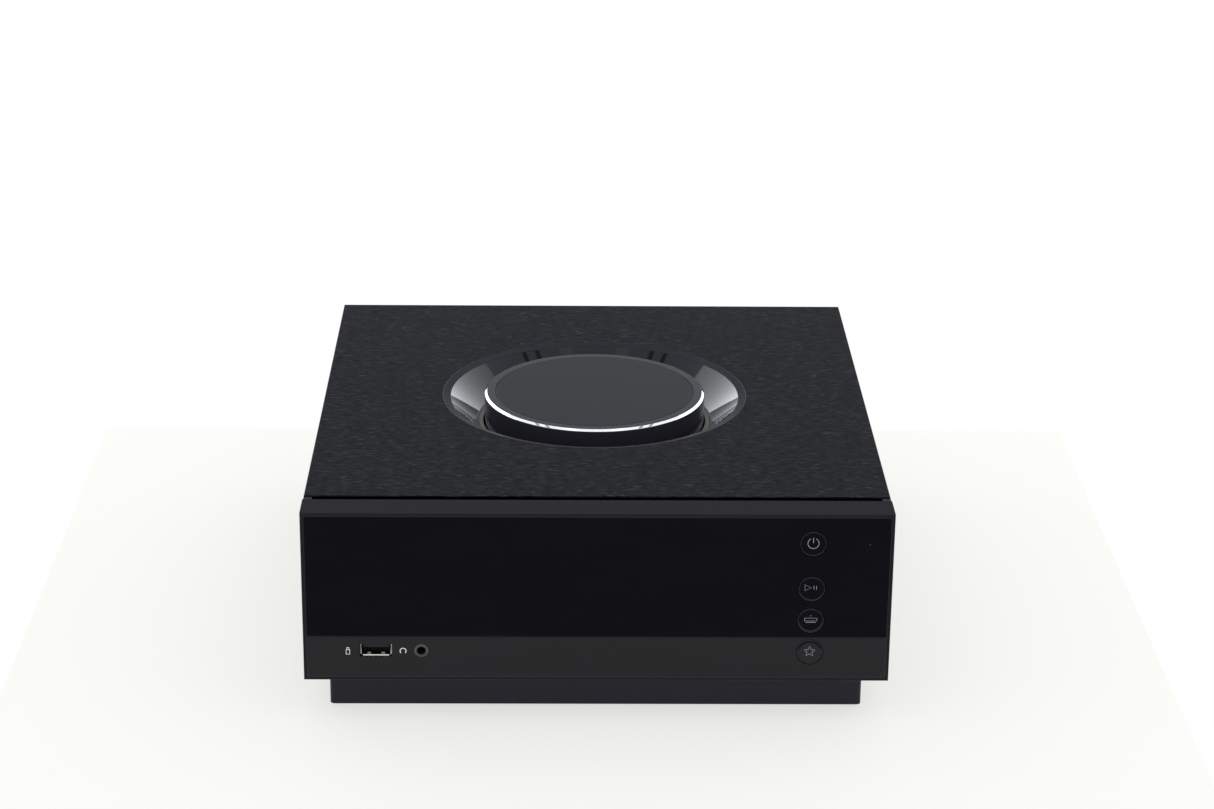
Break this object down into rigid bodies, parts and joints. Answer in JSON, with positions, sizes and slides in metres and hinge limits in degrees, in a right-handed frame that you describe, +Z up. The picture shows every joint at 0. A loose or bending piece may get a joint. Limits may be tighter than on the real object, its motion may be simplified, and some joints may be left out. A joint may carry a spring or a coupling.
{
  "type": "digital audio player",
  "caption": "Desktop network audio player: a black aluminium case on a plinth, with a glass front, keys and sockets, and a large sunken rotary volume dial in its top.",
  "frame": {"origin": "on the table, under the middle of the case's outside box", "axes": "+Z up; the glass front faces -Y; +X is to the right seen from the front"},
  "size_m": [0.245, 0.265, 0.0958],
  "materials": {
    "cover_brushed": "black anodised, finely brushed across the width",
    "panel_black": "black anodised, satin",
    "sink_black": "black anodised, matt",
    "front_glass": "smoked black, polished",
    "key_gloss": "polished black",
    "plinth_gloss": "gloss black moulding",
    "dish_polish": "mirror-polished black",
    "dial_black": "black anodised, polished",
    "dial_glass": "black, fine satin",
    "bright_metal": "polished",
    "trim_black": "matt black",
    "light_diffuser": "translucent",
    "steel": "plain",
    "rear_paint": "fine-textured black powder coat",
    "circuit_board": "green solder mask",
    "winding": "taped copper winding",
    "part_black": "moulded",
    "sleeve_blue": "shrink sleeve",
    "socket_nickel": "nickel plate",
    "socket_gold": "gold plate",
    "rubber_black": "matt",
    "screen_glass": "unlit display",
    "ribbon_grey": "flat cable"
  },
  "bodies": {
    "case": {"top_cover": "cover_brushed", "left_heat_sink": "sink_black", "right_heat_sink": "sink_black", "base_tray": "rear_paint", "posts_and_pillars": "steel", "plinth": "plinth_gloss", "feet": "rubber_black", "case_screws": "steel", "front_bezel": "panel_black", "front_glass": "front_glass", "front_frame": "rear_paint", "key_guide": "part_black", "key_switches": "part_black", "front_boards": "circuit_board", "display_screen": "screen_glass", "display_bracket": "steel", "front_usb_shell": "socket_nickel", "headphone_jack": "part_black", "rear_panel": "rear_paint", "mains_inlet": "part_black", "mains_pins": "socket_nickel", "rocker_frame": "part_black", "speaker_block": "part_black", "speaker_sleeves": "socket_gold", "phono_bodies": "part_black", "phono_shells": "socket_gold", "optical_sockets": "part_black", "ethernet_socket": "socket_nickel", "rear_shells": "socket_nickel", "socket_tongues": "part_black", "aerial_sockets": "socket_gold", "main_board": "circuit_board", "power_board": "circuit_board", "transformer": "winding", "transformer_clamp": "steel", "reservoir_capacitors": "sleeve_blue", "power_transistors": "part_black", "processor_can": "socket_nickel", "ribbon_cables": "ribbon_grey", "trim_ring": "trim_black", "dial_dish": "dish_polish", "light_guide": "light_diffuser", "dial_carrier": "part_black", "bearing_outer_race": "steel", "bearing_balls": "steel", "dial_boards": "circuit_board"},
    "dial": {"dial_body": "dial_black", "dial_bevel": "bright_metal", "dial_cap": "dial_glass", "dial_shaft": "steel", "bearing_inner_race": "steel", "encoder_ring": "part_black"},
    "power_key": {"power_key": "key_gloss"},
    "play_key": {"play_key": "key_gloss"},
    "input_key": {"input_key": "key_gloss"},
    "favourite_key": {"favourite_key": "key_gloss"},
    "rocker": {"power_rocker": "part_black"},
    "shutter_1": {"optical_shutter_1": "part_black"},
    "shutter_2": {"optical_shutter_2": "part_black"}
  },
  "joints": [
    {"name": "volume_dial_turn", "type": "hinge", "parent": "case", "child": "dial", "pos_m": [0, 0.0091, 0.0946], "axis": [0, 0, 1], "continuous": true},
    {"name": "power_key_press", "type": "slide", "parent": "case", "child": "power_key", "axis": [0, 1, 0], "range_m": [0, 0.0006], "stiffness_N_per_m": 1500, "springref_m": -0.0004},
    {"name": "play_key_press", "type": "slide", "parent": "case", "child": "play_key", "axis": [0, 1, 0], "range_m": [0, 0.0006], "stiffness_N_per_m": 1500, "springref_m": -0.0004},
    {"name": "input_key_press", "type": "slide", "parent": "case", "child": "input_key", "axis": [0, 1, 0], "range_m": [0, 0.0006], "stiffness_N_per_m": 1500, "springref_m": -0.0004},
    {"name": "favourite_key_press", "type": "slide", "parent": "case", "child": "favourite_key", "axis": [0, 1, 0], "range_m": [0, 0.0006], "stiffness_N_per_m": 1500, "springref_m": -0.0004},
    {"name": "power_rocker_tilt", "type": "hinge", "parent": "case", "child": "rocker", "pos_m": [-0.0787, 0.1185, 0.0772], "axis": [0, 0, 1], "range_deg": [-20, 0]},
    {"name": "optical_shutter_1_swing", "type": "hinge", "parent": "case", "child": "shutter_1", "pos_m": [0.00547, 0.12085, 0.03685], "axis": [-1, 0, 0], "range_deg": [0, 80], "stiffness_Nm_per_rad": 0.0002, "springref_deg": -14.32},
    {"name": "optical_shutter_2_swing", "type": "hinge", "parent": "case", "child": "shutter_2", "pos_m": [0.0233, 0.12085, 0.03685], "axis": [-1, 0, 0], "range_deg": [0, 80], "stiffness_Nm_per_rad": 0.0002, "springref_deg": -14.32}
  ]
}
